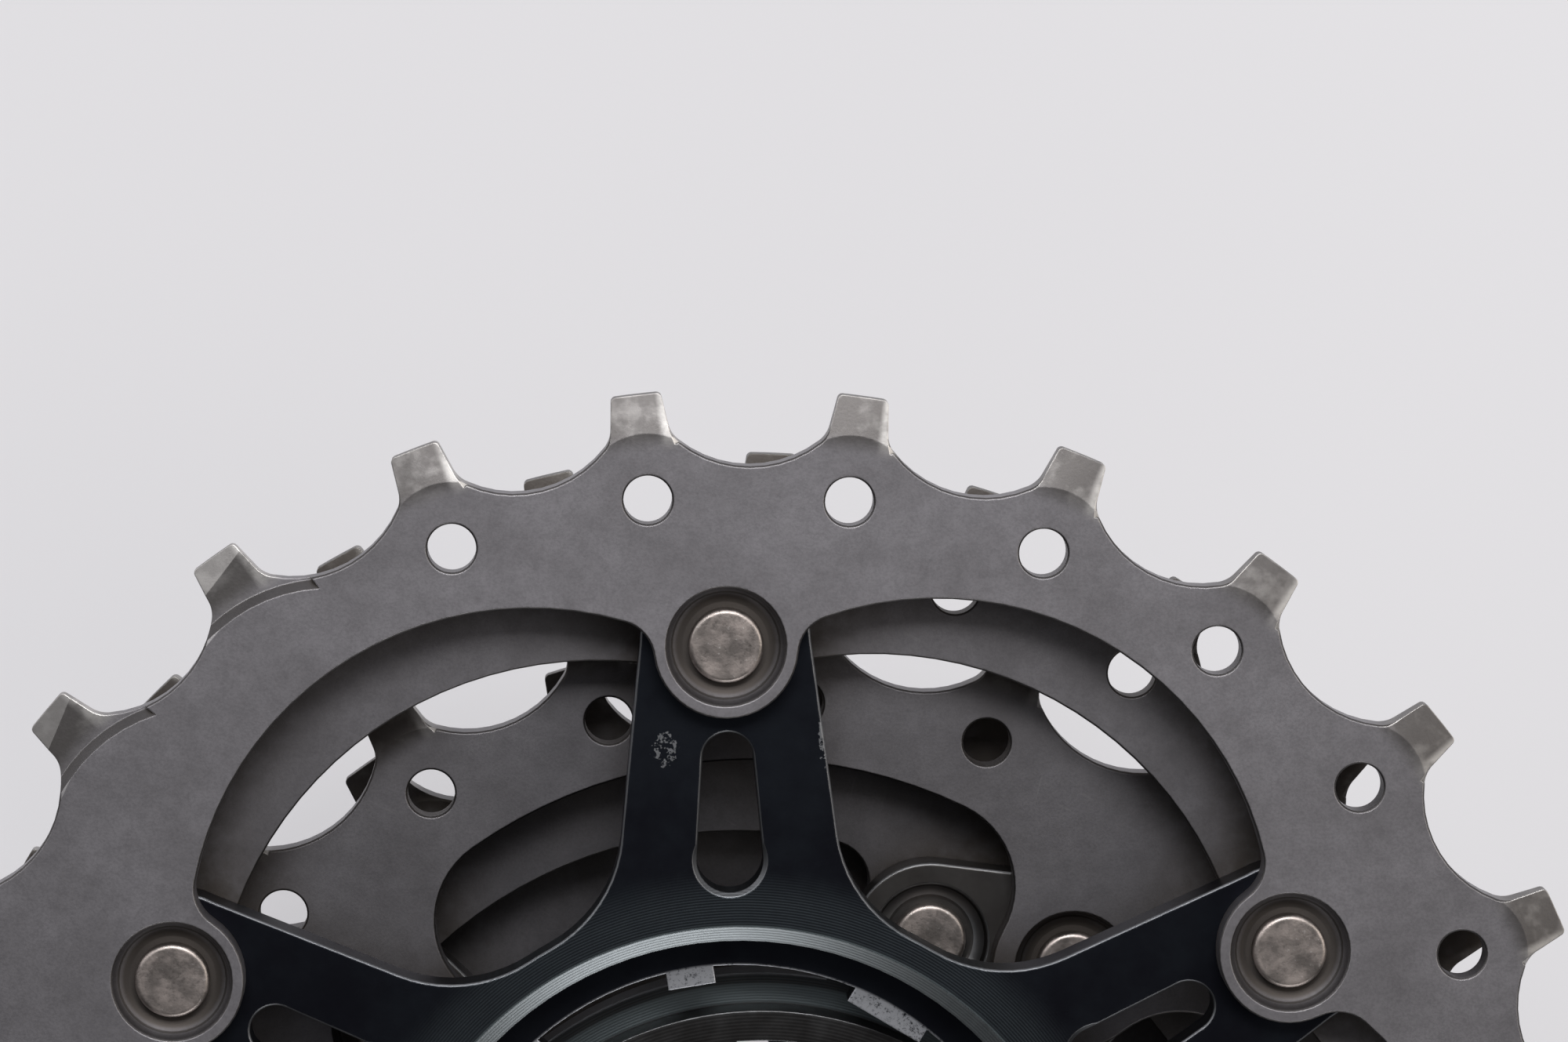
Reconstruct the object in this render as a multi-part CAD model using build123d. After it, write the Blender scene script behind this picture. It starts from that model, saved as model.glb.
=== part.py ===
"""Ten-speed bicycle cassette: two riveted clusters, six loose sprockets, spacers and a lockring.

The stack stands on its lockring.  +Z points from the smallest sprocket to the largest, so +Z is the
side that faces the spokes.  The origin is on the axis of the loose stack, on the plane the lockring
stands on.  Angles are clockwise from +Y, seen from above.  Lengths are in millimetres.
"""

from build123d import *
import math
import os

# --- chain and stack -------------------------------------------------------------------------
chain_pitch = 12.7
root_below_pitch = 3.875        # how far a tooth gap's floor lies below the pitch circle
tip_above_pitch = 0.45
tip_above_19 = 1.5              # the 19 has taller teeth
plate = 1.6                     # thickness of every sprocket
step = 3.95                     # from one sprocket to the next
steps = 9
gap = step - plate
washer_thick = 0.6
flange_thick = 1.5
stack_height = flange_thick + washer_thick + plate + steps * step

# --- the big cluster lies loose on the stack, slid to one side -----------------------------------
slip_x = -1.4
slip_y = 4.85

# --- freehub spline ----------------------------------------------------------------------------
spline_major = 17.45
spline_minor = 16.4
tab_count = 9
tab_wide = 4.8
tab_narrow = 2.75
narrow_tab_angle = -9.0

# --- room that cutting solids are given beyond what they cut --------------------------------------
clear = 4.0
near = 1.0
same = 0.01

# --- teeth -----------------------------------------------------------------------------------
tip_half = 1.4                  # half the width of a tooth's land
flank_drop = 2.4                # length of the straight flank
flank_half = 1.7                # half the tooth's width at the foot of that flank
flank_round = 1.6
land_round = 0.3
land_thick = 1.0
thinning_depth = 2.6            # how far below its tip a tooth starts to get thinner
thinning_r = 3.75               # the upper face stays flat inside this circle about the lightening hole
thinning_slope = 0.75
thinning_reach = 5.0
thinning_foot = 2.8
thinning_width = 7.0
bevel_from_axis = 1.0           # narrow bevel along one upper corner of a tooth
bevel_turn = 16
bevel_slope = 34
bevel_drop = 3.1
ramp_r = 9.2                    # a ramp's scoop is a groove outside this circle
ramp_crest = 3.45               # the nearest its wall comes to the tooth's tip
ramp_turn = -1.5
ramp_wall = 0.5
ramp_depth = 0.45
ramp_fall = 0.15                # how much deeper the scoop is at its outer end
ramp_reach = 6.0
ramp_left = 2.9
ramp_right = 5.1
facet_start = 1.25              # the outer half of a ramp tooth is one flat facet
facet_turn = 15
facet_lean = 15
facet_reach = 3.0
light_hole_r = 1.375
hole_below_root = 1.59
hole_turn = {23: -0.5, 21: -0.2}  # these sprockets' holes stand a little to one side of their teeth
edge_break = 0.1

# --- middle openings of the riveted rings -------------------------------------------------------
lobe_overlap = 1.0              # how far a lobe stands into the round middle of the opening
window_edge = {25: 42.1, 23: 37.55, 21: 33.8, 19: 29.2}    # farthest reach of a window
window_arc = {25: 19.2, 23: 21.8, 21: 28.0, 19: 25.7}      # radius of its outer edge
window_corner = {25: 2.3, 23: 2.0, 21: 5.2, 19: 2.5}

# --- rivets ----------------------------------------------------------------------------------
rivet_head_r = 2.12
rivet_head_thick = 0.8
rivet_head_round = 0.28
rivet_shank_r = 1.7
well_mouth_r = 3.35
well_dish_r = 3.05
well_floor_r = 2.45
well_depth = 1.0
well_dish_depth = 0.7

# --- big cluster: 25 and 23 teeth on a six-armed carrier ------------------------------------------
big_arms = 6
big_arm_angle = -1.13
big_rivet_circle = 36.6
big_lobe_r = 4.1
big_hub_r = 21.9
big_hub_lower_r = 21.3
arm_root_r = 19.0
arm_inner_half = 6.9
arm_outer_half = 4.85
arm_foot_round = 8.0
slot_outer = 30.05
slot_outer_r = 1.45
slot_inner = 24.15
slot_inner_r = 1.9
slot_break = 0.25
big_hub_height = 5.55
recess_r = 19.4                 # clears the freehub's shoulder
recess_depth = 3.55
recess_mouth_r = 20.3
recess_mouth_depth = 0.6
spacer_r = 19.2
shoulder_r = 18.9               # the two smallest sprockets' own spacers

# --- small cluster: 21 and 19 teeth on a four-armed carrier ---------------------------------------
small_arms = 4
rivet_21_circle = 28.1
rivet_21_angle = 40.5
rivet_19_circle = 24.9
rivet_19_angle = 23.7
lobe_21_r = 4.75
lobe_19_r = 4.2
arm_21_r = 4.95                 # the arm's outline about each of its two rivets
arm_19_r = 4.6
arm_foot_r = 6.5
arm_foot_circle = 14.0
arm_foot_angle = 30.0
small_hub_r = 21.0
small_hub_lower_r = 20.4
small_hub_height = gap + plate

# --- lockring --------------------------------------------------------------------------------
ring_flange_r = 17.0
ring_flange_round = 0.6
ring_web = 1.2                  # left standing above the flange, inside the sleeve
ring_sleeve_r = 15.2
ring_sleeve_bore = 13.4
ring_sleeve_length = 6.2
tool_groove_count = 12
tool_groove_r = 12.2
tool_ridge_r = 11.2
tool_groove_width = 3.0
washer_r = 16.9
washer_bore = 15.5

sprocket_order = [25, 23, 21, 19, 17, 16, 15, 14, 13, 12]
tooth_angle = {25: -6.49, 23: 2.45, 21: 3.8, 19: 2.9, 17: 4.0,
               16: 9.0, 15: 2.0, 14: 12.0, 13: 5.0, 12: 8.0}


def pitch_radius(teeth):
    return chain_pitch / 2 / math.sin(math.pi / teeth)


def root_radius(teeth):
    return pitch_radius(teeth) - root_below_pitch


def tip_radius(teeth):
    return pitch_radius(teeth) + (tip_above_19 if teeth == 19 else tip_above_pitch)


def top_of(teeth):
    """Height of a sprocket's upper, spoke-side face."""
    return stack_height - sprocket_order.index(teeth) * step


def around(radius, angle, height=0):
    """Location at a clockwise angle from +Y, with local +Y pointing outwards."""
    return Rot(0, 0, -angle) * Pos(0, radius, height)


def tooth_gap(teeth):
    """The space between two teeth, centred on +Y, running out past the tips."""
    half = math.pi / teeth
    tip = tip_radius(teeth)

    def beside_tooth(radius, half_width):
        x = radius * math.sin(half) - half_width * math.cos(half)
        y = radius * math.cos(half) + half_width * math.sin(half)
        return x, y

    foot_x, foot_y = beside_tooth(tip - flank_drop, flank_half)
    land_x, land_y = beside_tooth(tip, tip_half)
    out_y = land_y + clear
    floor = ThreePointArc((-foot_x, foot_y), (0, root_radius(teeth)), (foot_x, foot_y))
    wall = Polyline((foot_x, foot_y), (land_x, land_y), (land_x, out_y), (-land_x, out_y),
                    (-land_x, land_y), (-foot_x, foot_y))
    space = make_face(floor + wall)
    feet = [v for v in space.vertices() if abs(v.Y - foot_y) < same]
    return fillet(feet, flank_round)


def face_thinning(round_r, depth):
    """Ring that thins a tooth's upper face outside a circle about its hole."""
    reach = round_r + thinning_reach
    slope = make_face(Polyline((round_r, 0, 0), (reach, 0, 0), (reach, 0, -depth), (round_r, 0, 0)))
    sides = (Align.CENTER, Align.MIN, Align.CENTER)
    keep = Pos(0, thinning_foot) * Box(thinning_width, 2 * reach, clear, align=sides)
    return revolve(slope, Axis.Z) & keep


def ramp_scoop():
    """Scoop that helps the chain climb; it runs from the gap on one side of a tooth to the other."""
    inner = ramp_r + ramp_wall
    reach = ramp_r + ramp_reach
    section = make_face(Polyline((ramp_r, 0, 0), (reach, 0, 0), (reach, 0, -ramp_depth - ramp_fall),
                                 (inner, 0, -ramp_depth), (ramp_r, 0, 0)))
    sides = (Align.MIN, Align.MIN, Align.CENTER)
    keep = Pos(-ramp_left, ramp_r / 2) * Box(ramp_left + ramp_right, 2 * ramp_r, clear, align=sides)
    return revolve(section, Axis.Z) & keep


def corner_bevel():
    """Block whose underside takes the clockwise upper corner off a tooth, starting at its tip."""
    block = Box(clear, bevel_drop + 1, clear, align=(Align.MIN, Align.MIN, Align.MIN))
    sloped = Rot(0, bevel_slope, 0) * Pos(-1, -bevel_drop, 0) * block
    return Pos(bevel_from_axis, 0, 0) * Rot(0, 0, bevel_turn) * sloped


def ramp_facet():
    """Block whose underside is the sloping outer half of a ramp tooth."""
    block = Box(2 * clear, 2 * facet_reach, clear, align=(Align.CENTER, Align.CENTER, Align.MIN))
    return Rot(0, 0, facet_turn) * Rot(-facet_lean, 0, 0) * block


def toothed_blank(teeth):
    """Solid disc with its teeth, lying on z = 0; the underside is thinner towards the tips."""
    tip = tip_radius(teeth)
    thin = (plate - land_thick) / 2
    out = tip + 1
    section = make_face(Polyline((0, 0, 0), (tip - thinning_depth, 0, 0), (out, 0, thin), (out, 0, plate),
                                 (0, 0, plate), (0, 0, 0)))
    space = tooth_gap(teeth)
    spaces = [Rot(0, 0, -(k + 0.5) * 360 / teeth - tooth_angle[teeth]) * space for k in range(teeth)]
    outline = Circle(tip) - spaces
    corners = [v for v in outline.vertices() if math.hypot(v.X, v.Y) > tip - same]
    outline = fillet(corners, land_round)
    return extrude(outline, plate) & revolve(section, Axis.Z)


def tooth_cutters(teeth, ramps=()):
    """What is taken off the upper face of the teeth."""
    tip = tip_radius(teeth)
    hole_circle = root_radius(teeth) - hole_below_root
    thinning = face_thinning(thinning_r, thinning_slope)
    bevel = corner_bevel()
    scoop = ramp_scoop()
    facet = ramp_facet()
    cutters = []
    for k in range(teeth):
        angle = tooth_angle[teeth] + k * 360 / teeth
        if k in ramps:
            cutters.append(around(tip - ramp_crest - ramp_r, angle + ramp_turn, plate) * scoop)
            cutters.append(around(tip - facet_start, angle, plate - ramp_depth) * facet)
        else:
            cutters.append(around(hole_circle, angle, plate) * thinning)
            cutters.append(around(tip, angle, plate) * bevel)
    return cutters


def light_holes(teeth, skip=()):
    """One small through hole under each tooth."""
    radius = root_radius(teeth) - hole_below_root
    first = tooth_angle[teeth] + hole_turn.get(teeth, 0)
    holes = [around(radius, first + k * 360 / teeth) * Circle(light_hole_r)
             for k in range(teeth) if k not in skip]
    return extrude(Sketch() + holes, plate)


def lobed_opening(teeth, lobes, first, circle, lobe_r):
    """The middle opening of a ring whose lobes reach inwards to its rivets."""
    turn = 360 / lobes
    middle = Circle(circle - lobe_r + lobe_overlap)
    arc_r = window_arc[teeth]
    arc_centre = window_edge[teeth] - arc_r
    windows = [around(arc_centre, first + (k + 0.5) * turn) * Circle(arc_r) for k in range(lobes)]
    opening = middle + windows
    for k in range(lobes):
        opening -= around(circle, first + k * turn) * Circle(lobe_r)
    return fillet(opening.vertices(), window_corner[teeth])


def rivet_spots(count, first, circle, height):
    return [around(circle, first + k * 360 / count, height) for k in range(count)]


def well(face_up):
    """Dished well for a rivet head, its mouth on z = 0."""
    lip = edge_break
    mouth = (well_mouth_r, 0, -lip)
    floor = (well_floor_r, 0, -well_depth)
    dish = ThreePointArc(mouth, (well_dish_r, 0, -well_dish_depth), floor)
    rim = Polyline(floor, (0, 0, -well_depth), (0, 0, 0), (well_mouth_r + lip, 0, 0), mouth)
    solid = revolve(make_face(dish + rim), Axis.Z)
    return solid if face_up else Rot(180, 0, 0) * solid


def rivet(length):
    """Rivet standing on z = 0 with a formed head at each end, each head lying in its well."""
    shank = extrude(Circle(rivet_shank_r), length)
    head = extrude(Circle(rivet_head_r), rivet_head_thick)
    head = fillet(head.edges().sort_by(Axis.Z)[-1], rivet_head_round)
    upper = Pos(0, 0, length - rivet_head_thick) * head
    lower = Pos(0, 0, rivet_head_thick) * Rot(180, 0, 0) * head
    return shank + upper + lower


def spline_bore(height):
    """What is cut away for the freehub: nine tabs are left standing, one narrower than the others."""
    bore = Circle(spline_major)
    for k in range(tab_count):
        width = tab_narrow if k == 0 else tab_wide
        spot = around(spline_minor + clear / 2, narrow_tab_angle + k * 360 / tab_count)
        bore -= spot * Rectangle(width, clear)
    bore += Circle(spline_minor)
    return extrude(bore, height)


def break_edges(solid, heights, size=edge_break):
    """Small bevel on every edge that lies flat at one of the given heights."""
    flat = [e for e in solid.edges()
            if any(abs(e.bounding_box().min.Z - h) < same and abs(e.bounding_box().max.Z - h) < same
                   for h in heights)]
    return chamfer(flat, size)


def plated_ring(teeth, opening, ramps=(), plain=()):
    """Toothed ring with its opening and holes; its edges are broken before the teeth are thinned."""
    ring = toothed_blank(teeth) - extrude(opening, plate)
    ring -= light_holes(teeth, plain)
    ring = break_edges(ring, (plate,))
    return ring - tooth_cutters(teeth, ramps)


def riveted(ring, spots, face_up):
    """Rivet holes through a plate, each with a well for the head on one face."""
    for spot in spots:
        ring -= spot * Pos(0, 0, plate if face_up else 0) * well(face_up)
        ring -= spot * extrude(Circle(rivet_shank_r), plate)
    return ring


def sprocket_25():
    opening = lobed_opening(25, big_arms, big_arm_angle, big_rivet_circle, big_lobe_r)
    ring = plated_ring(25, opening, ramps=(10, 11, 22, 23), plain=(9, 10, 11, 21, 22, 23))
    return riveted(ring, rivet_spots(big_arms, big_arm_angle, big_rivet_circle, 0), True)


def sprocket_23():
    opening = lobed_opening(23, big_arms, big_arm_angle, big_rivet_circle, big_lobe_r)
    ring = plated_ring(23, opening, plain=(9, 10, 20, 21))
    return riveted(ring, rivet_spots(big_arms, big_arm_angle, big_rivet_circle, 0), False)


def sprocket_21():
    opening = lobed_opening(21, small_arms, rivet_21_angle, rivet_21_circle, lobe_21_r)
    ring = plated_ring(21, opening, plain=(2, 12))
    return riveted(ring, rivet_spots(small_arms, rivet_21_angle, rivet_21_circle, 0), True)


def sprocket_19():
    opening = lobed_opening(19, small_arms, rivet_19_angle, rivet_19_circle, lobe_19_r)
    ring = plated_ring(19, opening, plain=range(19))
    return riveted(ring, rivet_spots(small_arms, rivet_19_angle, rivet_19_circle, 0), False)


def loose_sprocket(teeth, shoulder):
    """Plain sprocket; the two smallest carry their own spacer as a shoulder on the upper side."""
    body = toothed_blank(teeth) - tooth_cutters(teeth)
    height = plate
    if shoulder:
        height += gap
        body += extrude(Circle(shoulder_r), height)
    return body - spline_bore(height)


def spacer():
    return extrude(Circle(spacer_r), gap) - spline_bore(gap)


def arm_outline():
    """Six arms on a hub, each with a slot that widens inwards, seen from above."""
    arms = Circle(big_hub_r)
    tip = big_rivet_circle
    arm = make_face(Polyline((-arm_inner_half, arm_root_r), (-arm_outer_half, tip), (arm_outer_half, tip),
                             (arm_inner_half, arm_root_r), (-arm_inner_half, arm_root_r)))
    turns = [Rot(0, 0, -big_arm_angle - k * 360 / big_arms) for k in range(big_arms)]
    for turn in turns:
        arms += turn * arm
        arms += turn * Pos(0, tip) * Circle(arm_outer_half)
    feet = [v for v in arms.vertices() if abs(math.hypot(v.X, v.Y) - big_hub_r) < near]
    arms = fillet(feet, arm_foot_round)
    rim = (Pos(0, slot_outer) * Circle(slot_outer_r)).edges() + (Pos(0, slot_inner) * Circle(slot_inner_r)).edges()
    slot = make_hull(rim)
    for turn in turns:
        arms -= turn * slot
        arms -= turn * Pos(0, tip) * Circle(rivet_shank_r)
    return arms


def big_carrier():
    """The six-armed carrier; it lies under the 25 and over the 23."""
    top = big_hub_height
    arms = break_edges(extrude(arm_outline(), gap), (0, gap))
    body = Pos(0, 0, top - gap) * arms
    body += extrude(Circle(big_hub_lower_r), top - gap)
    hanging = (Align.CENTER, Align.CENTER, Align.MAX)
    slot_end = Cone(slot_inner_r, slot_inner_r + slot_break, slot_break, align=hanging)
    for k in range(big_arms):
        body -= around(slot_inner, big_arm_angle + k * 360 / big_arms, top) * slot_end
    body -= Pos(0, 0, top - recess_depth) * extrude(Circle(recess_r), recess_depth)
    mouth = Cone(recess_r, recess_mouth_r, recess_mouth_depth, align=hanging)
    body -= Pos(0, 0, top) * mouth
    return body - spline_bore(top)


def small_arm_outline():
    """Four broad arms; each takes one rivet of the 21 above it and one of the 19 below it."""
    arms = Circle(small_hub_r)
    rims = (around(rivet_21_circle, rivet_21_angle) * Circle(arm_21_r)).edges()
    rims += (around(rivet_19_circle, rivet_19_angle) * Circle(arm_19_r)).edges()
    rims += (around(arm_foot_circle, arm_foot_angle) * Circle(arm_foot_r)).edges()
    arm = make_hull(rims)
    for k in range(small_arms):
        arms += Rot(0, 0, -k * 360 / small_arms) * arm
    for circle, angle in ((rivet_21_circle, rivet_21_angle), (rivet_19_circle, rivet_19_angle)):
        for spot in rivet_spots(small_arms, angle, circle, 0):
            arms -= spot * Circle(rivet_shank_r)
    return arms


def small_carrier():
    """The four-armed carrier between the 21 and the 19."""
    arms = break_edges(extrude(small_arm_outline(), gap), (0, gap))
    body = Pos(0, 0, plate) * arms
    body += extrude(Circle(small_hub_lower_r), plate)
    for spot in rivet_spots(small_arms, rivet_19_angle, rivet_19_circle, plate + gap):
        body -= spot * well(True)
    for spot in rivet_spots(small_arms, rivet_21_angle, rivet_21_circle, plate):
        body -= spot * well(False)
    return body - spline_bore(small_hub_height)


def lockring():
    """Flange below, sleeve above, and a socket of ridges and grooves for the tool."""
    ring = extrude(Circle(ring_flange_r), flange_thick)
    ring = fillet(ring.edges().sort_by(Axis.Z)[0], ring_flange_round)
    sleeve_top = flange_thick + ring_sleeve_length
    ring += extrude(Circle(ring_sleeve_r), sleeve_top)
    ring -= Pos(0, 0, flange_thick + ring_web) * extrude(Circle(ring_sleeve_bore), sleeve_top)
    socket = Circle(tool_ridge_r)
    for k in range(tool_groove_count):
        groove = Pos(0, tool_ridge_r / 2) * Rectangle(tool_groove_width, tool_ridge_r + clear)
        socket += Rot(0, 0, k * 360 / tool_groove_count) * groove & Circle(tool_groove_r)
    return ring - extrude(socket, sleeve_top)


def lock_washer():
    return extrude(Circle(washer_r) - Circle(washer_bore), washer_thick)


def save(name, solid):
    solid.label = name
    export_step(solid, f"parts/{name}.step")


def main():
    os.makedirs("parts", exist_ok=True)
    slipped = Pos(slip_x, slip_y, 0)

    save("sprocket_25t", slipped * Pos(0, 0, top_of(25) - plate) * sprocket_25())
    save("sprocket_23t", slipped * Pos(0, 0, top_of(23) - plate) * sprocket_23())
    save("carrier_large", slipped * Pos(0, 0, top_of(25) - plate - big_hub_height) * big_carrier())
    sunk = well_depth - rivet_head_thick
    big_stack = step + plate
    low = top_of(25) - big_stack + sunk
    long_rivet = rivet(big_stack - 2 * sunk)
    spots = rivet_spots(big_arms, big_arm_angle, big_rivet_circle, low)
    save("rivets_large", Compound(children=[slipped * spot * long_rivet for spot in spots]))

    save("carrier_spacer", Pos(0, 0, top_of(21) - plate) * spacer())
    save("sprocket_21t", Pos(0, 0, top_of(21) - plate) * sprocket_21())
    save("sprocket_19t", Pos(0, 0, top_of(19) - plate) * sprocket_19())
    save("carrier_small", Pos(0, 0, top_of(19) - plate) * small_carrier())
    small_stack = plate + gap
    short_rivet = rivet(small_stack - 2 * sunk)
    low_21 = top_of(21) - small_stack + sunk
    low_19 = top_of(19) - plate + sunk
    spots_21 = rivet_spots(small_arms, rivet_21_angle, rivet_21_circle, low_21)
    spots_19 = rivet_spots(small_arms, rivet_19_angle, rivet_19_circle, low_19)
    save("rivets_21t", Compound(children=[spot * short_rivet for spot in spots_21]))
    save("rivets_19t", Compound(children=[spot * short_rivet for spot in spots_19]))

    for teeth in (17, 16, 15, 14, 13, 12):
        shouldered = teeth < 14
        save(f"sprocket_{teeth}t", Pos(0, 0, top_of(teeth) - plate) * loose_sprocket(teeth, shouldered))
    for teeth in (17, 16, 15, 14):
        save(f"spacer_above_{teeth}t", Pos(0, 0, top_of(teeth)) * spacer())

    save("lock_washer", Pos(0, 0, flange_thick) * lock_washer())
    save("lockring", lockring())


main()
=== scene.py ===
"""Looks of a ten-speed bicycle cassette that stands on its lockring, spoke side up."""

import math

import bpy
from mathutils import Euler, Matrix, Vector


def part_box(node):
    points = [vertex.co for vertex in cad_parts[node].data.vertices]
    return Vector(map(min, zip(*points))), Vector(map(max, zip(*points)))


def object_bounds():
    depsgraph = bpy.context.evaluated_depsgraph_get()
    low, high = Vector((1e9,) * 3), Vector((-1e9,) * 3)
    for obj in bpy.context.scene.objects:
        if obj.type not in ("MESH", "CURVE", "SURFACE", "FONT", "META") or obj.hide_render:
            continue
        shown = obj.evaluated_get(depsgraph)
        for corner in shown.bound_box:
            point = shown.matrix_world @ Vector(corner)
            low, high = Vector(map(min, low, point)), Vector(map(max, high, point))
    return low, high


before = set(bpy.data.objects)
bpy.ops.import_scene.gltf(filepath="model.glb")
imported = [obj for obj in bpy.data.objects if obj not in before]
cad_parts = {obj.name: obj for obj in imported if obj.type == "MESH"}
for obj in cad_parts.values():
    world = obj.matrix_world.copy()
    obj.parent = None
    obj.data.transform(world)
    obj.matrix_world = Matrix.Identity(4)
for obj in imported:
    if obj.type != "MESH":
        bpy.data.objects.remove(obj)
cad_box = [list(corner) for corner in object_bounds()]

MM = 0.001

# --- where things are, from the frame ---------------------------------------------------------
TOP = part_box("sprocket_25t")[1].z
STACK_AXIS = Vector((0, 0, 0))
BIG_AXIS = Vector((-1.4 * MM, 4.85 * MM, 0))

BIG_TAB_DEPTH = 5.15 * MM        # from the top down to the spline tabs of the large carrier
SMALL_TAB_DEPTH = 9.5 * MM
UPPER_ARM = BIG_AXIS + Vector((0, 0, TOP - 1.6 * MM))
KNOCK_SPOT = UPPER_ARM + Vector((-4.1, 30.5, 0)) * MM
KNOCK_REACH = Vector((1.6, 1.9, 1.5)) * MM
STREAK_SPOT = UPPER_ARM + Vector((4.9, 31.2, 0)) * MM
STREAK_REACH = Vector((0.8, 3.4, 1.5)) * MM

# --- the sprockets, by their number of teeth; millimetres, and degrees clockwise from +Y ----------------
TIP_RADIUS = {25: 51.12, 23: 47.08, 21: 43.06, 19: 40.08, 17: 35.01,
              16: 33.0, 15: 30.99, 14: 28.99, 13: 26.98, 12: 24.98}
FIRST_TOOTH = {25: -6.49, 23: 2.45, 21: 3.8, 19: 2.9, 17: 4.0,
               16: 9.0, 15: 2.0, 14: 12.0, 13: 5.0, 12: 8.0}
WELLS = {25: (36.6, -1.13, 6), 21: (28.1, 40.5, 4)}     # rivet circle, first rivet, how many
DEPTH_SHADE = {25: 1.0, 23: 0.74, 21: 0.70}                    # painted shade: the others lie deeper and are painted darker
DEPTH_SHADE_DEEP = 0.48

# --- colours, linear -------------------------------------------------------------------------
STEEL = (0.238, 0.229, 0.244, 1)
STEEL_DULL = (0.190, 0.182, 0.193, 1)
STEEL_BRIGHT = (0.70, 0.68, 0.66, 1)
STEEL_TOOTH = (0.118, 0.110, 0.105, 1)
# teeth of the inner sprockets: painted dark as shade under the larger plates
TOOTH_IN_SHADE = (0.062, 0.056, 0.052, 1)
RIVET = (0.36, 0.315, 0.295, 1)
RIVET_DARK = (0.25, 0.225, 0.21, 1)
ANODISED = (0.0115, 0.0120, 0.0165, 1)
ANODISED_PALE = (0.0165, 0.0190, 0.0245, 1)
TURNED = (0.055, 0.066, 0.073, 1)
# painted highlight on the turned lip of the hub recess
TURNED_LIP_HIGHLIGHT = (0.16, 0.19, 0.20, 1)
# pale alloy for rubbed bare spots, also used as a painted highlight on edges and chamfers
BARE_ALLOY_AND_GLINT = (0.50, 0.51, 0.53, 1)
TAB_ALLOY = (0.45, 0.46, 0.49, 1)
# painted shade: the brown of the deep shade between the plates
SHADE_BROWN = (0.050, 0.042, 0.035, 1)
SPACER_BLACK = (0.018, 0.017, 0.017, 1)
SMALL_CARRIER = (0.052, 0.048, 0.046, 1)
SMALL_CARRIER_PALE = (0.074, 0.070, 0.068, 1)
LOCKRING_GREY = (0.10, 0.10, 0.11, 1)
WASHER_GREY = (0.45, 0.45, 0.45, 1)
FLOOR_WHITE = (0.20, 0.20, 0.205, 1)
FLOOR_SHADE = (0.19, 0.19, 0.195, 1)
FLOOR_GLOW = (0.985, 0.965, 1.0, 1)
SKY_NEAR = 0.02                 # towards -Y
SKY_FAR = 0.45                  # towards +Y


# --- node helpers ----------------------------------------------------------------------------
def add(tree, kind, **settings):
    made = tree.nodes.new("ShaderNode" + kind)
    for key, value in settings.items():
        setattr(made, key, value)
    return made


def wire(tree, source, target):
    tree.links.new(source, target)


def calculate(tree, operation, first, second=None):
    """A Math node; each term is a socket or a number."""
    made = add(tree, "Math", operation=operation)
    for slot, term in zip(made.inputs, (first, second)):
        if isinstance(term, bpy.types.NodeSocket):
            wire(tree, term, slot)
        elif term is not None:
            slot.default_value = term
    return made.outputs[0]


def times(tree, first, second):
    return calculate(tree, "MULTIPLY", first, second)


def plus(tree, first, second):
    return calculate(tree, "ADD", first, second)


def larger(tree, first, second):
    return calculate(tree, "MAXIMUM", first, second)


def ramp_between(tree, value, low, high, to_low=0.0, to_high=1.0):
    """Smooth step from one value to another."""
    made = add(tree, "MapRange", interpolation_type="SMOOTHSTEP")
    wire(tree, value, made.inputs["Value"])
    for name, term in (("From Min", low), ("From Max", high), ("To Min", to_low), ("To Max", to_high)):
        if isinstance(term, bpy.types.NodeSocket):
            wire(tree, term, made.inputs[name])
        else:
            made.inputs[name].default_value = term
    return made.outputs["Result"]


def blend(tree, amount, first, second):
    """Colour mix; each colour is a socket or four numbers."""
    made = add(tree, "Mix", data_type="RGBA")
    pairs = ((made.inputs[0], amount), (made.inputs[6], first), (made.inputs[7], second))
    for slot, term in pairs:
        if isinstance(term, bpy.types.NodeSocket):
            wire(tree, term, slot)
        else:
            slot.default_value = term
    return made.outputs[2]


def noise(tree, vector, size, detail=3.0, roughness=0.55):
    """Noise whose features are about the given size in metres."""
    made = add(tree, "TexNoise")
    wire(tree, vector, made.inputs["Vector"])
    if isinstance(size, bpy.types.NodeSocket):
        wire(tree, calculate(tree, "DIVIDE", 1.0, size), made.inputs["Scale"])
    else:
        made.inputs["Scale"].default_value = 1 / size
    made.inputs["Detail"].default_value = detail
    made.inputs["Roughness"].default_value = roughness
    return made.outputs["Fac"]


def new_group(name, takes, gives):
    """Empty shader group with its named inputs and outputs."""
    tree = bpy.data.node_groups.new(name, "ShaderNodeTree")
    for label, kind, default in takes:
        socket = tree.interface.new_socket(label, in_out="INPUT", socket_type="NodeSocket" + kind)
        if default is not None:
            socket.default_value = default
    for label, kind in gives:
        tree.interface.new_socket(label, in_out="OUTPUT", socket_type="NodeSocket" + kind)
    entry = tree.nodes.new("NodeGroupInput")
    leave = tree.nodes.new("NodeGroupOutput")
    return tree, entry.outputs, leave.inputs


def use(tree, group, **values):
    """Places a group; a value is a socket or a number, and _ in its name stands for a space."""
    made = add(tree, "Group", node_tree=group)
    for key, value in values.items():
        slot = made.inputs[key.replace("_", " ")]
        if isinstance(value, bpy.types.NodeSocket):
            wire(tree, value, slot)
        else:
            slot.default_value = value
    return made.outputs


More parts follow.
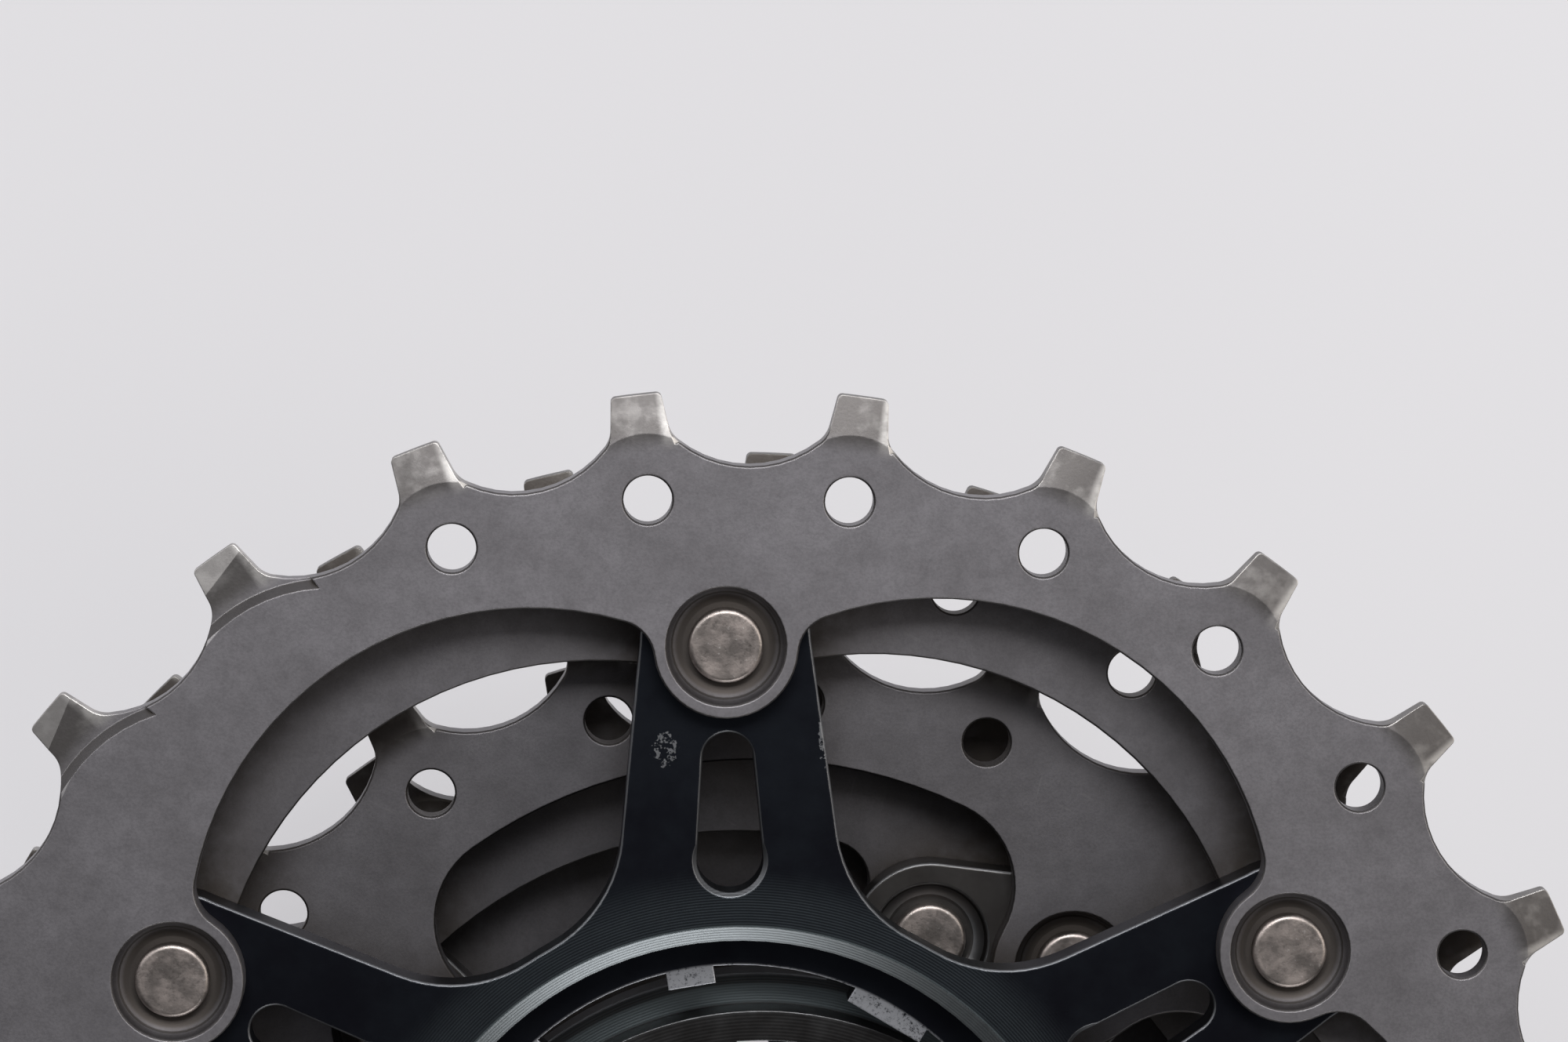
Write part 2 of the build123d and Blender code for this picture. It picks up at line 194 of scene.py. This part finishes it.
# --- shared surface effects --------------------------------------------------------------------
def make_edge_wear_and_glint():
    """Edges, for rubbed wear and for a painted highlight along them; broken up so that it isn't an outline."""
    tree, given, out = new_group(
        "edge_wear_and_glint",
        [("Position", "Vector", None), ("Width", "Float", 0.15 * MM), ("Break up", "Float", 0.5)],
        [("Mask", "Float"), ("Normal", "Vector")])
    bevel = add(tree, "Bevel", samples=6)
    wire(tree, given["Width"], bevel.inputs["Radius"])
    wire(tree, bevel.outputs["Normal"], out["Normal"])
    plain = add(tree, "NewGeometry")
    dot = add(tree, "VectorMath", operation="DOT_PRODUCT")
    wire(tree, bevel.outputs["Normal"], dot.inputs[0])
    wire(tree, plain.outputs["Normal"], dot.inputs[1])
    bend = calculate(tree, "SUBTRACT", 1.0, dot.outputs["Value"])
    edge = ramp_between(tree, bend, 0.01, 0.12)
    patch = ramp_between(tree, noise(tree, given["Position"], 1.1 * MM), 0.35, 0.65)
    keep = times(tree, patch, given["Break up"])
    wire(tree, times(tree, edge, calculate(tree, "SUBTRACT", 1.0, keep)), out["Mask"])
    return tree


def make_crevice_shade():
    """Painted shade in corners and grooves: more where less of the surroundings is open to the point."""
    tree, given, out = new_group(
        "crevice_shade",
        [("Position", "Vector", None), ("Reach", "Float", 1.5 * MM), ("Amount", "Float", 0.8)],
        [("Mask", "Float")])
    open_part = add(tree, "AmbientOcclusion", samples=6)
    wire(tree, given["Reach"], open_part.inputs["Distance"])
    hidden = ramp_between(tree, open_part.outputs["AO"], 0.96, 0.42)
    patch = ramp_between(tree, noise(tree, given["Position"], 1.6 * MM), 0.2, 0.6, 0.6, 1.0)
    wire(tree, times(tree, times(tree, hidden, patch), given["Amount"]), out["Mask"])
    return tree


def make_sloping():
    """Faces that lean a little from level, such as bevels and ramps; walls and level faces stay out."""
    tree, given, out = new_group(
        "sloping",
        [("From", "Float", 0.018), ("To", "Float", 0.06), ("End", "Float", 0.45)],
        [("Mask", "Float")])
    split = add(tree, "SeparateXYZ")
    wire(tree, add(tree, "NewGeometry").outputs["True Normal"], split.inputs[0])
    lean = calculate(tree, "SUBTRACT", 1.0, split.outputs["Z"])
    rising = ramp_between(tree, lean, given["From"], given["To"])
    past = plus(tree, given["End"], 0.03)
    wire(tree, times(tree, rising, ramp_between(tree, lean, past, given["End"])), out["Mask"])
    return tree


def make_speckle():
    """Fine grain of a blasted or stamped face."""
    tree, given, out = new_group(
        "speckle",
        [("Position", "Vector", None), ("Size", "Float", 0.12 * MM)],
        [("Grain", "Float"), ("Pits", "Float")])
    fine = noise(tree, given["Position"], given["Size"], 4.0, 0.7)
    coarse = noise(tree, given["Position"], times(tree, given["Size"], 6.0), 2.0)
    both = plus(tree, times(tree, fine, 0.7), times(tree, coarse, 0.3))
    wire(tree, both, out["Grain"])
    wire(tree, ramp_between(tree, fine, 0.62, 0.74), out["Pits"])
    return tree


def make_smudges():
    """Slow, cloudy change of tone left by oil and handling."""
    tree, given, out = new_group(
        "smudges",
        [("Position", "Vector", None), ("Size", "Float", 6 * MM)],
        [("Cloud", "Float"), ("Spots", "Float")])
    cloud = noise(tree, given["Position"], given["Size"], 4.0, 0.6)
    wire(tree, ramp_between(tree, cloud, 0.3, 0.7), out["Cloud"])
    spots = noise(tree, given["Position"], times(tree, given["Size"], 0.22), 2.0)
    wire(tree, ramp_between(tree, spots, 0.66, 0.74), out["Spots"])
    return tree


def make_scratches():
    """Thin straight scratches that run in two directions."""
    tree, given, out = new_group(
        "scratches",
        [("Position", "Vector", None), ("Turn", "Float", 0.6), ("Amount", "Float", 0.5)],
        [("Mask", "Float")])
    lines = []
    for extra, stretch in ((0.0, 14.0), (1.3, 22.0)):
        turned = add(tree, "VectorRotate", rotation_type="Z_AXIS")
        wire(tree, given["Position"], turned.inputs["Vector"])
        wire(tree, plus(tree, given["Turn"], extra), turned.inputs["Angle"])
        long = add(tree, "Mapping")
        wire(tree, turned.outputs["Vector"], long.inputs["Vector"])
        long.inputs["Scale"].default_value = (1 / stretch, 1, 1)
        streak = noise(tree, long.outputs["Vector"], 0.35 * MM, 2.0, 0.5)
        lines.append(ramp_between(tree, streak, 0.69, 0.74))
    most = larger(tree, lines[0], lines[1])
    where = ramp_between(tree, noise(tree, given["Position"], 5 * MM), 0.5, 0.62)
    wire(tree, times(tree, times(tree, most, where), given["Amount"]), out["Mask"])
    return tree


def make_around_axis():
    """Distance from the axis and height, for patterns that go round a piece."""
    tree, given, out = new_group(
        "around_axis",
        [("Position", "Vector", None), ("Centre", "Vector", None)],
        [("Radius", "Float"), ("Height", "Float"), ("From centre", "Vector")])
    away = add(tree, "VectorMath", operation="SUBTRACT")
    wire(tree, given["Position"], away.inputs[0])
    wire(tree, given["Centre"], away.inputs[1])
    split = add(tree, "SeparateXYZ")
    wire(tree, away.outputs[0], split.inputs[0])
    square = plus(tree, times(tree, split.outputs["X"], split.outputs["X"]),
                    times(tree, split.outputs["Y"], split.outputs["Y"]))
    wire(tree, calculate(tree, "SQRT", square), out["Radius"])
    wire(tree, split.outputs["Z"], out["Height"])
    wire(tree, away.outputs[0], out["From centre"])
    return tree


def make_spot_distance():
    """Distance from, and sideways offset to, the nearest of the spots at equal angles on a circle."""
    tree, given, out = new_group(
        "spot_distance",
        [("From centre", "Vector", None), ("Radius", "Float", 0.0), ("Circle", "Float", 30 * MM),
         ("First", "Float", 0.0), ("Turn", "Float", 1.0)],
        [("Distance", "Float"), ("Across", "Float")])
    split = add(tree, "SeparateXYZ")
    wire(tree, given["From centre"], split.inputs[0])
    angle = calculate(tree, "ARCTAN2", split.outputs["X"], split.outputs["Y"])
    angle = calculate(tree, "SUBTRACT", angle, given["First"])
    whole = calculate(tree, "ROUND", calculate(tree, "DIVIDE", angle, given["Turn"]))
    folded = calculate(tree, "SUBTRACT", angle, times(tree, whole, given["Turn"]))
    radii = times(tree, given["Radius"], given["Circle"])
    squares = plus(tree, times(tree, given["Radius"], given["Radius"]),
                     times(tree, given["Circle"], given["Circle"]))
    cross = times(tree, times(tree, radii, 2.0), calculate(tree, "COSINE", folded))
    left = larger(tree, calculate(tree, "SUBTRACT", squares, cross), 0.0)
    wire(tree, calculate(tree, "SQRT", left), out["Distance"])
    wire(tree, times(tree, given["Radius"], calculate(tree, "SINE", folded)), out["Across"])
    return tree


def make_turning_marks():
    """Fine grooves that a lathe leaves round an axis."""
    tree, given, out = new_group(
        "turning_marks",
        [("Radius", "Float", 0.0), ("Pitch", "Float", 0.12 * MM), ("Position", "Vector", None)],
        [("Groove", "Float")])
    wander = times(tree, noise(tree, given["Position"], 4 * MM), 0.06 * MM)
    turns = calculate(tree, "DIVIDE", plus(tree, given["Radius"], wander), given["Pitch"])
    wave = calculate(tree, "SINE", times(tree, turns, 2 * math.pi))
    wire(tree, plus(tree, times(tree, wave, 0.5), 0.5), out["Groove"])
    return tree


def make_knock():
    """A patch of small bare marks about a centre; Half is its reach along X and Y."""
    tree, given, out = new_group(
        "knock",
        [("Position", "Vector", None), ("Centre", "Vector", None), ("Half", "Vector", (MM, MM, MM)),
         ("Grit", "Float", 0.5 * MM)],
        [("Mask", "Float")])
    away = add(tree, "VectorMath", operation="SUBTRACT")
    wire(tree, given["Position"], away.inputs[0])
    wire(tree, given["Centre"], away.inputs[1])
    scaled = add(tree, "VectorMath", operation="DIVIDE")
    wire(tree, away.outputs[0], scaled.inputs[0])
    wire(tree, given["Half"], scaled.inputs[1])
    length = add(tree, "VectorMath", operation="LENGTH")
    wire(tree, scaled.outputs[0], length.inputs[0])
    inside = ramp_between(tree, length.outputs["Value"], 0.3, 1.0, 0.30, -0.2)
    gritty = plus(tree, noise(tree, given["Position"], given["Grit"], 3.0, 0.6), inside)
    wire(tree, ramp_between(tree, gritty, 0.79, 0.85), out["Mask"])
    return tree


EDGE_WEAR_AND_GLINT = make_edge_wear_and_glint()
CREVICE_SHADE = make_crevice_shade()
SLOPING = make_sloping()
SPECKLE = make_speckle()
SMUDGES = make_smudges()
SCRATCHES = make_scratches()
AROUND_AXIS = make_around_axis()
SPOT_DISTANCE = make_spot_distance()
TURNING_MARKS = make_turning_marks()
KNOCK = make_knock()


# --- materials -------------------------------------------------------------------------------
def new_finish(name):
    """Material with a Principled BSDF; gives its tree, shader and the piece's own coordinates."""
    finish = bpy.data.materials.new(name)
    finish.use_nodes = True
    tree = finish.node_tree
    shader = tree.nodes["Principled BSDF"]
    place = add(tree, "TexCoord").outputs["Object"]
    return finish, tree, shader, place


def bump(tree, shader, height, distance, strength=1.0, under=None):
    made = add(tree, "Bump")
    if under:
        wire(tree, under, made.inputs["Normal"])
    made.inputs["Strength"].default_value = strength
    made.inputs["Distance"].default_value = distance
    wire(tree, height, made.inputs["Height"])
    wire(tree, made.outputs["Normal"], shader.inputs["Normal"])


def shade(colour, amount):
    return tuple(part * amount for part in colour[:3]) + (1,)


def tooth_masks(tree, place, axis, teeth):
    """Where the teeth are, which parts of them the chain rubs, and where they get painted light: a painted
    highlight on facets and partly on one flank, painted shade on scoop walls.
    """
    tip = TIP_RADIUS[teeth] * MM
    radius = axis["Radius"]
    tooth = ramp_between(tree, radius, tip - 3.4 * MM, tip - 2.0 * MM)
    outer = ramp_between(tree, radius, tip - 6.5 * MM, tip - 5.0 * MM)
    rubs = ramp_between(tree, noise(tree, place, 1.6 * MM, 3.0, 0.55), 0.46, 0.70)
    beside = use(tree, SPOT_DISTANCE, From_centre=axis["From centre"], Radius=radius, Circle=tip,
                 First=math.radians(FIRST_TOOTH[teeth]), Turn=2 * math.pi / teeth)["Across"]
    patchy = ramp_between(tree, noise(tree, place, 1.4 * MM), 0.30, 0.55, 0.35, 0.9)
    side = times(tree, ramp_between(tree, beside, 1.00 * MM, 1.50 * MM), patchy)
    return {
        "tooth": tooth,
        "rubbed": times(tree, rubs, tooth),
        "side": times(tree, side, tooth),
        "facet_highlight": times(tree, use(tree, SLOPING, End=0.2)["Mask"], outer),
        "scoop_wall_shade": use(tree, SLOPING, From=0.21, To=0.25, End=0.35)["Mask"],
    }


def plate_colour(tree, place, grain, tone):
    """Plating with a cloudy film of oil, pits and stains; tone makes it darker as painted shade on the deeper
    sprockets.
    """
    cloud = use(tree, SMUDGES, Position=place, Size=5 * MM)
    base = blend(tree, cloud["Cloud"], shade(STEEL_DULL, tone), shade(STEEL, tone))
    uneven = ramp_between(tree, grain["Grain"], 0.35, 0.65, 0.30, 0.0)
    base = blend(tree, uneven, base, shade(STEEL_DULL, tone * 0.6))
    base = blend(tree, times(tree, grain["Pits"], 0.35), base, shade(STEEL_DULL, tone * 0.45))
    return blend(tree, times(tree, cloud["Spots"], 0.12), base, shade(STEEL_DULL, tone * 0.5))


def shade_in_hollows(tree, place, axis, teeth):
    """Painted shade under the plates above, and round the rivet heads in their wells."""
    reach = 1.6 * MM if teeth == 25 else 5 * MM
    shade_mask = use(tree, CREVICE_SHADE, Position=place, Reach=reach, Amount=0.92)["Mask"]
    if teeth not in WELLS:
        return shade_mask
    circle, first, count = WELLS[teeth]
    away = use(tree, SPOT_DISTANCE, From_centre=axis["From centre"], Radius=axis["Radius"],
               Circle=circle * MM, First=math.radians(first), Turn=2 * math.pi / count)["Distance"]
    return larger(tree, shade_mask, ramp_between(tree, away, 3.15 * MM, 2.70 * MM, 0.0, 0.88))


def sprocket_finish(teeth):
    """Satin plated steel, painted darker on the inner sprockets as shade, rubbed bright where the chain runs,
    with painted highlights and painted shade on the teeth.
    """
    finish, tree, shader, place = new_finish(f"sprocket_steel_{teeth}")
    largest = teeth == 25
    tone = DEPTH_SHADE.get(teeth, DEPTH_SHADE_DEEP)
    wear = 1.0 if largest else 0.6
    tooth_colour = STEEL_TOOTH if largest else TOOTH_IN_SHADE
    axis = use(tree, AROUND_AXIS, Position=place, Centre=BIG_AXIS if teeth > 21 else STACK_AXIS)
    grain = use(tree, SPECKLE, Position=place, Size=0.16 * MM)
    edge = use(tree, EDGE_WEAR_AND_GLINT, Position=place, Width=0.10 * MM, Break_up=0.6)
    marks = use(tree, SCRATCHES, Position=place, Turn=0.5, Amount=0.03)["Mask"]
    on = tooth_masks(tree, place, axis, teeth)
    shade_mask = shade_in_hollows(tree, place, axis, teeth)
    base = plate_colour(tree, place, grain, tone)
    base = blend(tree, times(tree, on["tooth"], 0.85), base, tooth_colour)
    # painted shade on the walls of the scoops
    base = blend(tree, times(tree, on["scoop_wall_shade"], 0.75), base, shade(tooth_colour, 0.5))
    # the chain rubs the teeth; one flank is rubbed and also gets a painted highlight; the facets get a painted
    # highlight
    for part, strength in (("rubbed", 0.16), ("side", 0.65), ("facet_highlight", 0.70)):
        base = blend(tree, times(tree, on[part], strength * wear), base, STEEL_BRIGHT)
    base = blend(tree, marks, base, STEEL_BRIGHT)
    # edges painted bright: rubbed wear on the teeth, a painted highlight on the plate edges
    bare = times(tree, edge["Mask"], plus(tree, 0.18 * tone, times(tree, on["tooth"], 0.8 * wear)))
    base = blend(tree, bare, base, STEEL_BRIGHT)
    # painted shade under the plates above and round the rivet heads
    base = blend(tree, shade_mask, base, shade(SHADE_BROWN, 0.4 + 0.6 * tone))
    wire(tree, base, shader.inputs["Base Color"])
    rough = plus(tree, 0.42, times(tree, grain["Grain"], 0.12))
    rough = calculate(tree, "SUBTRACT", rough, times(tree, on["tooth"], 0.08))
    rough = plus(tree, rough, times(tree, shade_mask, 0.2))
    wire(tree, rough, shader.inputs["Roughness"])
    shader.inputs["Metallic"].default_value = 1.0
    bump(tree, shader, grain["Grain"], 0.012 * MM, 0.5, edge["Normal"])
    return finish



def rivet_finish():
    """Steel upset by a press: rough in the middle of the head, rubbed round its rim and painted brighter there
    as a highlight, with painted shade in its crevices.
    """
    finish, tree, shader, place = new_finish("rivet_steel")
    grain = use(tree, SPECKLE, Position=place, Size=0.30 * MM)
    cloud = use(tree, SMUDGES, Position=place, Size=1.4 * MM)
    edge = use(tree, EDGE_WEAR_AND_GLINT, Position=place, Width=0.12 * MM, Break_up=0.4)
    shade_mask = use(tree, CREVICE_SHADE, Position=place, Reach=1.0 * MM, Amount=0.9)["Mask"]
    base = blend(tree, cloud["Cloud"], RIVET_DARK, RIVET)
    hollows = ramp_between(tree, grain["Grain"], 0.5, 0.3, 0.0, 0.7)
    base = blend(tree, hollows, base, shade(RIVET_DARK, 0.5))
    base = blend(tree, times(tree, grain["Pits"], 0.6), base, STEEL_BRIGHT)
    base = blend(tree, times(tree, edge["Mask"], 0.4), base, STEEL_BRIGHT)
    # painted shade in the crevices of the head
    base = blend(tree, shade_mask, base, SHADE_BROWN)
    wire(tree, base, shader.inputs["Base Color"])
    rough = plus(tree, 0.36, times(tree, cloud["Cloud"], 0.12))
    wire(tree, rough, shader.inputs["Roughness"])
    shader.inputs["Metallic"].default_value = 1.0
    bump(tree, shader, grain["Grain"], 0.04 * MM, 0.5, edge["Normal"])
    return finish


def worn_spots(tree, place):
    """Marks on the upper arm where something has knocked the coating off."""
    cluster = use(tree, KNOCK, Position=place, Centre=KNOCK_SPOT, Half=KNOCK_REACH, Grit=0.28 * MM)
    streak = use(tree, KNOCK, Position=place, Centre=STREAK_SPOT, Half=STREAK_REACH, Grit=0.3 * MM)
    return larger(tree, cluster["Mask"], streak["Mask"])


def ring_mask(tree, radius, inner, outer):
    """One between two radii; each is a pair of millimetre values that the mask ramps over."""
    from_inside = ramp_between(tree, radius, inner[0] * MM, inner[1] * MM)
    from_outside = ramp_between(tree, radius, outer[1] * MM, outer[0] * MM)
    return times(tree, from_outside, from_inside)


def carrier_finish(name, centre, tab_height, dark, pale):
    """Dark anodising, turned near the hub, bare on the tab faces and worn corners; edges and chamfers are pale
    as bare alloy and as a painted highlight, and the lip of the hub recess gets a painted highlight.
    """
    finish, tree, shader, place = new_finish(name)
    axis = use(tree, AROUND_AXIS, Position=place, Centre=centre)
    radius = axis["Radius"]
    grain = use(tree, SPECKLE, Position=place, Size=0.14 * MM)
    cloud = use(tree, SMUDGES, Position=place, Size=5 * MM)
    grooves = use(tree, TURNING_MARKS, Radius=radius, Pitch=0.16 * MM, Position=place)["Groove"]
    edge = use(tree, EDGE_WEAR_AND_GLINT, Position=place, Width=0.12 * MM, Break_up=0.7)
    sloping = use(tree, SLOPING)["Mask"]
    near_hub = ring_mask(tree, radius, (19.1, 19.3), (21.5, 24.0))
    # the lip of the recess: turned alloy painted lighter as a highlight
    lip_highlight = ring_mask(tree, radius, (19.2, 19.35), (20.25, 20.5))
    raised = ramp_between(tree, axis["Height"], tab_height - 0.25 * MM, tab_height - 0.05 * MM)
    on_tab = times(tree, ramp_between(tree, radius, 17.6 * MM, 17.4 * MM), raised)
    chipped = times(tree, on_tab, ramp_between(tree, grain["Grain"], 0.34, 0.50))
    base = blend(tree, cloud["Cloud"], dark, pale)
    sheen = times(tree, near_hub, plus(tree, 0.25, times(tree, grooves, 0.45)))
    base = blend(tree, sheen, base, TURNED)
    base = blend(tree, times(tree, lip_highlight, 0.8), base, TURNED_LIP_HIGHLIGHT)
    # pale edges and chamfers: rubbed bare alloy and a painted highlight
    bare = larger(tree, times(tree, edge["Mask"], 0.40), times(tree, sloping, 0.30))
    bare = larger(tree, bare, times(tree, worn_spots(tree, place), 0.40))
    base = blend(tree, bare, base, BARE_ALLOY_AND_GLINT)
    base = blend(tree, chipped, base, TAB_ALLOY)
    wire(tree, base, shader.inputs["Base Color"])
    shader.inputs["Metallic"].default_value = 1.0
    rough = plus(tree, 0.34, times(tree, grain["Grain"], 0.15))
    wire(tree, rough, shader.inputs["Roughness"])
    height = plus(tree, times(tree, grain["Grain"], 0.5), times(tree, grooves, near_hub))
    bump(tree, shader, height, 0.008 * MM, 0.6, edge["Normal"])
    return finish


def plain_alloy_finish(name, colour, bare):
    """Turned and coated ring, rubbed through on its edges, which are also painted brighter as a highlight."""
    finish, tree, shader, place = new_finish(name)
    axis = use(tree, AROUND_AXIS, Position=place, Centre=STACK_AXIS)
    grain = use(tree, SPECKLE, Position=place, Size=0.12 * MM)
    cloud = use(tree, SMUDGES, Position=place, Size=4 * MM)
    grooves = use(tree, TURNING_MARKS, Radius=axis["Radius"], Pitch=0.2 * MM, Position=place)["Groove"]
    edge = use(tree, EDGE_WEAR_AND_GLINT, Position=place, Width=0.12 * MM, Break_up=0.5)
    base = blend(tree, times(tree, cloud["Cloud"], 0.05), colour, bare)
    base = blend(tree, times(tree, edge["Mask"], 0.4), base, bare)
    wire(tree, base, shader.inputs["Base Color"])
    rough = plus(tree, 0.34, times(tree, grain["Grain"], 0.2))
    wire(tree, rough, shader.inputs["Roughness"])
    shader.inputs["Metallic"].default_value = 0.9
    bump(tree, shader, grooves, 0.008 * MM, 0.6, edge["Normal"])
    return finish


def floor_finish():
    """Bright, evenly lit white ground."""
    finish, tree, shader, place = new_finish("floor_white")
    cloud = noise(tree, place, 60 * MM, 2.0)
    wire(tree, blend(tree, cloud, FLOOR_WHITE, FLOOR_SHADE), shader.inputs["Base Color"])
    shader.inputs["Roughness"].default_value = 0.7
    shader.inputs["Emission Color"].default_value = FLOOR_GLOW
    shader.inputs["Emission Strength"].default_value = 0.475
    return finish


def dress(node, finish):
    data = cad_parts[node].data
    data.materials.clear()
    data.materials.append(finish)


for teeth in TIP_RADIUS:
    dress(f"sprocket_{teeth}t", sprocket_finish(teeth))
rivets = rivet_finish()
for node in ("rivets_large", "rivets_21t", "rivets_19t"):
    dress(node, rivets)
dress("carrier_large", carrier_finish("carrier_large_anodised", BIG_AXIS, TOP - BIG_TAB_DEPTH,
                                      ANODISED, ANODISED_PALE))
dress("carrier_small", carrier_finish("carrier_small_anodised", STACK_AXIS, TOP - SMALL_TAB_DEPTH,
                                      SMALL_CARRIER, SMALL_CARRIER_PALE))
black = plain_alloy_finish("spacer_black", SPACER_BLACK, BARE_ALLOY_AND_GLINT)
for node in ("carrier_spacer", "spacer_above_17t", "spacer_above_16t", "spacer_above_15t", "spacer_above_14t"):
    dress(node, black)
dress("lockring", plain_alloy_finish("lockring_alloy", LOCKRING_GREY, BARE_ALLOY_AND_GLINT))
dress("lock_washer", plain_alloy_finish("washer_steel", WASHER_GREY, BARE_ALLOY_AND_GLINT))


# --- floor, light, camera ----------------------------------------------------------------------
def make_floor():
    bpy.ops.mesh.primitive_plane_add(size=3.0, location=(0, 0, cad_box[0][2] - 0.02 * MM))
    floor = bpy.context.object
    floor.name = "floor"
    floor.data.materials.append(floor_finish())


def soft_light(name, place, size, power, colour=(1, 1, 1)):
    data = bpy.data.lights.new(name, "AREA")
    data.shape = "RECTANGLE"
    data.size, data.size_y = size
    data.energy = power
    data.color = colour
    lamp = bpy.data.objects.new(name, data)
    bpy.context.scene.collection.objects.link(lamp)
    lamp.location = place
    lamp.visible_camera = False
    aim = Vector((0, 0, 0.02)) - Vector(place)
    lamp.rotation_euler = aim.to_track_quat("-Z", "Y").to_euler()


def make_world():
    """Soft light that gets stronger towards +Y."""
    world = bpy.data.worlds.new("studio")
    world.use_nodes = True
    tree = world.node_tree
    back = tree.nodes["Background"]
    split = add(tree, "SeparateXYZ")
    wire(tree, add(tree, "TexCoord").outputs["Generated"], split.inputs[0])
    wire(tree, ramp_between(tree, split.outputs["Y"], -0.45, 0.50, SKY_NEAR, SKY_FAR), back.inputs["Strength"])
    back.inputs["Color"].default_value = (0.97, 0.965, 1.0, 1)
    bpy.context.scene.world = world


def make_camera():
    """Looks down on the spoke side, a little from the lower left of the axis."""
    data = bpy.data.cameras.new("camera")
    data.sensor_width = 36
    data.lens = 133.5
    camera = bpy.data.objects.new("camera", data)
    bpy.context.scene.collection.objects.link(camera)
    lean = Euler((math.radians(-6.41), math.radians(-2.09), 0))
    focus = Vector((BIG_AXIS.x, BIG_AXIS.y, TOP))
    offset = Vector((2.53 * MM, 43.44 * MM, 331.3 * MM))
    turn = lean.to_matrix()
    camera.location = focus + turn @ offset
    camera.rotation_euler = lean
    bpy.context.scene.camera = camera


make_floor()
soft_light("key", (0.0, 0.27, 0.37), (0.25, 0.14), 1.75)
soft_light("left", (-0.75, 0.45, 0.50), (0.5, 0.5), 1.5)
soft_light("right", (0.60, 0.12, 0.52), (0.4, 0.4), 1.9, (1.0, 0.94, 0.86))
soft_light("behind", (0.20, -0.95, 0.45), (0.6, 0.4), 3.5)
make_world()
make_camera()
bpy.context.scene.view_settings.view_transform = "Standard"
